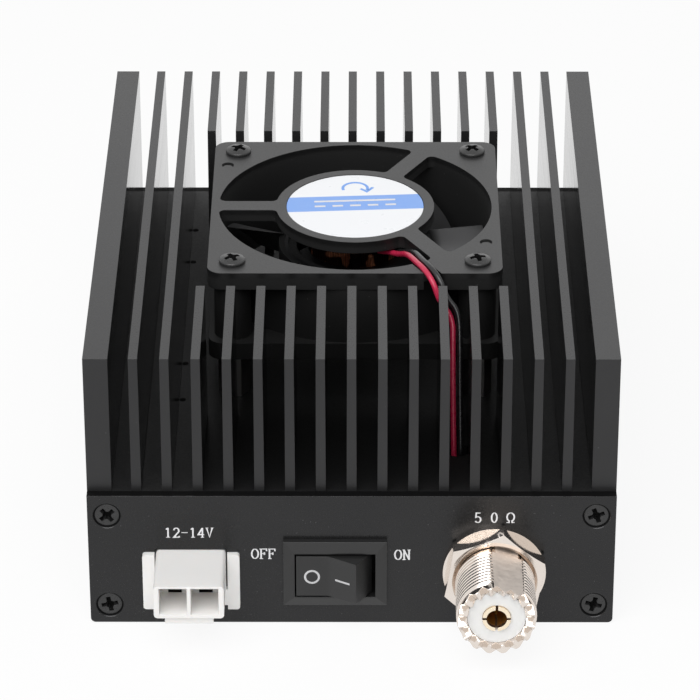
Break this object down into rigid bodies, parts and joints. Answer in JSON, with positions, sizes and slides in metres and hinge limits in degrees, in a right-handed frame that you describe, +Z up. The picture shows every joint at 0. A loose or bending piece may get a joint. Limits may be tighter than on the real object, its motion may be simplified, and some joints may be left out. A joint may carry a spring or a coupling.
{
  "type": "radio frequency amplifier",
  "caption": "Bench radio frequency power amplifier: a shallow black case under a finned heat sink with a sunk cooling fan, a rocker switch, a power socket and threaded coaxial sockets.",
  "frame": {"origin": "middle of the case's underside, the lowest point of the object", "axes": "+Z up, the front panel with the switch faces -Y, +X to the right as seen from the front"},
  "size_m": [0.105, 0.1722, 0.0609],
  "materials": {
    "black_anodised": "bead-blasted black anodised",
    "black_powder_coat": "fine textured black",
    "black_screw_steel": "black oxide",
    "black_fan_plastic": "moulded black",
    "grey_fan_plastic": "moulded dark grey",
    "white_label": "white film with a pale blue band",
    "bare_steel": "zinc plated",
    "bronze": "sintered bronze",
    "copper": "enamelled copper",
    "ferrite": "fired ferrite",
    "circuit_board": "green solder mask",
    "red_wire": "red insulation",
    "black_wire": "black insulation",
    "white_nylon": "moulded warm white nylon",
    "tinned_brass": "tinned",
    "switch_plastic": "moulded black",
    "black_epoxy": "black epoxy",
    "nickel": "bright nickel plate",
    "white_ptfe": "white fluoropolymer",
    "gold_contact": "gold plated"
  },
  "bodies": {
    "amplifier": {"heat_sink": "black_anodised", "bottom_tray": "black_powder_coat", "front_panel": "black_powder_coat", "rear_panel": "black_powder_coat", "panel_screws": "black_screw_steel", "fan_screws": "black_screw_steel", "fan_frame": "black_fan_plastic", "fan_label": "white_label", "fan_standoffs": "bare_steel", "fan_stator_core": "bare_steel", "board_screws": "bare_steel", "transistor_screws": "bare_steel", "switch_terminals": "bare_steel", "supply_capacitor": "bare_steel", "fan_bearing": "bronze", "fan_bearing_tube": "bronze", "fan_coils": "copper", "antenna_socket_strap": "copper", "input_socket_strap": "copper", "output_transformer": "ferrite", "filter_coils": "ferrite", "fan_circuit_board": "circuit_board", "amplifier_board": "circuit_board", "fan_lead_red": "red_wire", "fan_lead_black": "black_wire", "power_socket_housing": "white_nylon", "power_socket_contacts": "tinned_brass", "switch_housing": "switch_plastic", "rf_transistor": "black_epoxy", "antenna_relay": "black_epoxy", "antenna_socket_shell": "nickel", "antenna_socket_nut": "nickel", "antenna_socket_washer": "nickel", "input_socket_shell": "nickel", "input_socket_nut": "nickel", "input_socket_washer": "nickel", "antenna_socket_insulator": "white_ptfe", "input_socket_insulator": "white_ptfe", "antenna_socket_contact": "gold_contact", "input_socket_contact": "gold_contact"},
    "fan_rotor": {"fan_impeller": "grey_fan_plastic", "fan_rotor_yoke": "bare_steel", "fan_magnet_ring": "ferrite", "fan_shaft": "bare_steel", "fan_clip": "bare_steel"},
    "rocker": {"switch_rocker": "switch_plastic"}
  },
  "joints": [
    {"name": "fan_spin", "type": "hinge", "parent": "amplifier", "child": "fan_rotor", "pos_m": [0.0006, 0, 0.0396], "axis": [0, 0, 1], "continuous": true},
    {"name": "rocker_tilt", "type": "hinge", "parent": "amplifier", "child": "rocker", "pos_m": [-0.00331, -0.06458, 0.01225], "axis": [0, 0, 1], "range_deg": [0, 30]}
  ]
}
